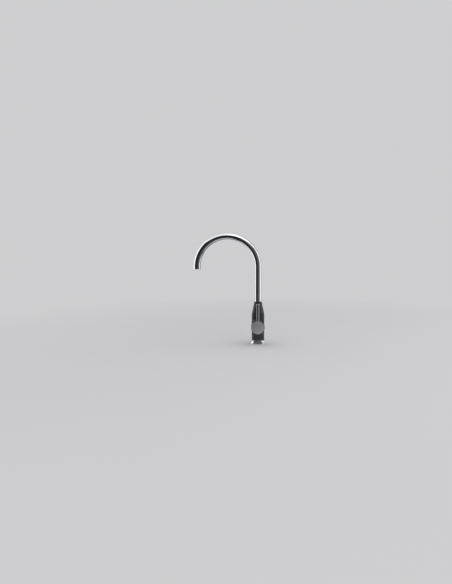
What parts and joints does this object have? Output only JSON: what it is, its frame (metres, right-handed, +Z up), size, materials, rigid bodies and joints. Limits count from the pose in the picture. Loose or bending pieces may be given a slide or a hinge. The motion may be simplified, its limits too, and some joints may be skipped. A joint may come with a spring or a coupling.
{
  "type": "kitchen tap",
  "caption": "Side-lever kitchen mixer tap with a swivelling gooseneck spout, flared base ring, ceramic cartridge and threaded mounting shank.",
  "frame": {"origin": "on the worktop, at the axis of the tap's body and shank", "axes": "+Z up along the body, -X towards the spout's mouth, -Y out along the handle's barrel"},
  "size_m": [0.254, 0.096, 0.447],
  "materials": {
    "dark_satin_coat": "satin",
    "polished_chrome": "polished",
    "brushed_hub": "satin",
    "brass": "satin",
    "steel": "satin",
    "black_rubber": "matte",
    "slide_plastic": "satin",
    "cartridge_plastic": "matte",
    "disc_ceramic": "polished",
    "index_plastic": "gloss"
  },
  "bodies": {
    "tap": {"tap_body": "dark_satin_coat", "base_ring": "polished_chrome", "deck_gasket": "black_rubber", "mounting_shank": "brass", "inlet_block": "brass", "inlet_seals": "black_rubber", "neck_glide_ring": "slide_plastic", "spout_thrust_ring": "slide_plastic", "spout_grub_screw": "steel", "cartridge_base": "cartridge_plastic", "port_seals": "black_rubber", "fixed_disc": "disc_ceramic", "cartridge_housing": "cartridge_plastic", "cartridge_nut": "brass", "bonnet": "dark_satin_coat"},
    "spout": {"spout_tube": "polished_chrome", "spout_tail": "brass", "spout_o_rings": "black_rubber", "aerator_housing": "polished_chrome", "aerator_insert": "cartridge_plastic", "aerator_seal": "black_rubber"},
    "rotor": {"cartridge_rotor": "cartridge_plastic", "pivot_pin": "steel"},
    "flow_disc": {"moving_disc": "disc_ceramic", "disc_carrier": "cartridge_plastic"},
    "handle": {"spindle": "steel", "handle_hub": "dark_satin_coat", "face_disc": "brushed_hub", "lever": "polished_chrome", "hub_grub_screw": "steel", "index_plug": "index_plastic"},
    "clamp": {"deck_washer": "black_rubber", "clamp_washer": "steel", "backnut": "brass"}
  },
  "joints": [
    {"name": "spout_swivel", "type": "hinge", "parent": "tap", "child": "spout", "pos_m": [0, 0, 0.12], "axis": [0, 0, 1], "continuous": true},
    {"name": "temperature_turn", "type": "hinge", "parent": "tap", "child": "rotor", "pos_m": [0, -0.04, 0.065], "axis": [0, 1, 0], "range_deg": [-50, 50]},
    {"name": "flow_lift", "type": "hinge", "parent": "rotor", "child": "handle", "pos_m": [0, -0.032, 0.065], "axis": [1, 0, 0], "range_deg": [0, 25]},
    {"name": "disc_slide", "type": "slide", "parent": "rotor", "child": "flow_disc", "axis": [0, 0, 1], "range_m": [0, 0.0037]},
    {"name": "backnut_travel", "type": "slide", "parent": "tap", "child": "clamp", "axis": [0, 0, -1], "range_m": [-0.028, 0.07]}
  ],
  "couplings": [
    {"joint": "disc_slide", "follows": "flow_lift", "m_per_rad": 0.00823}
  ]
}
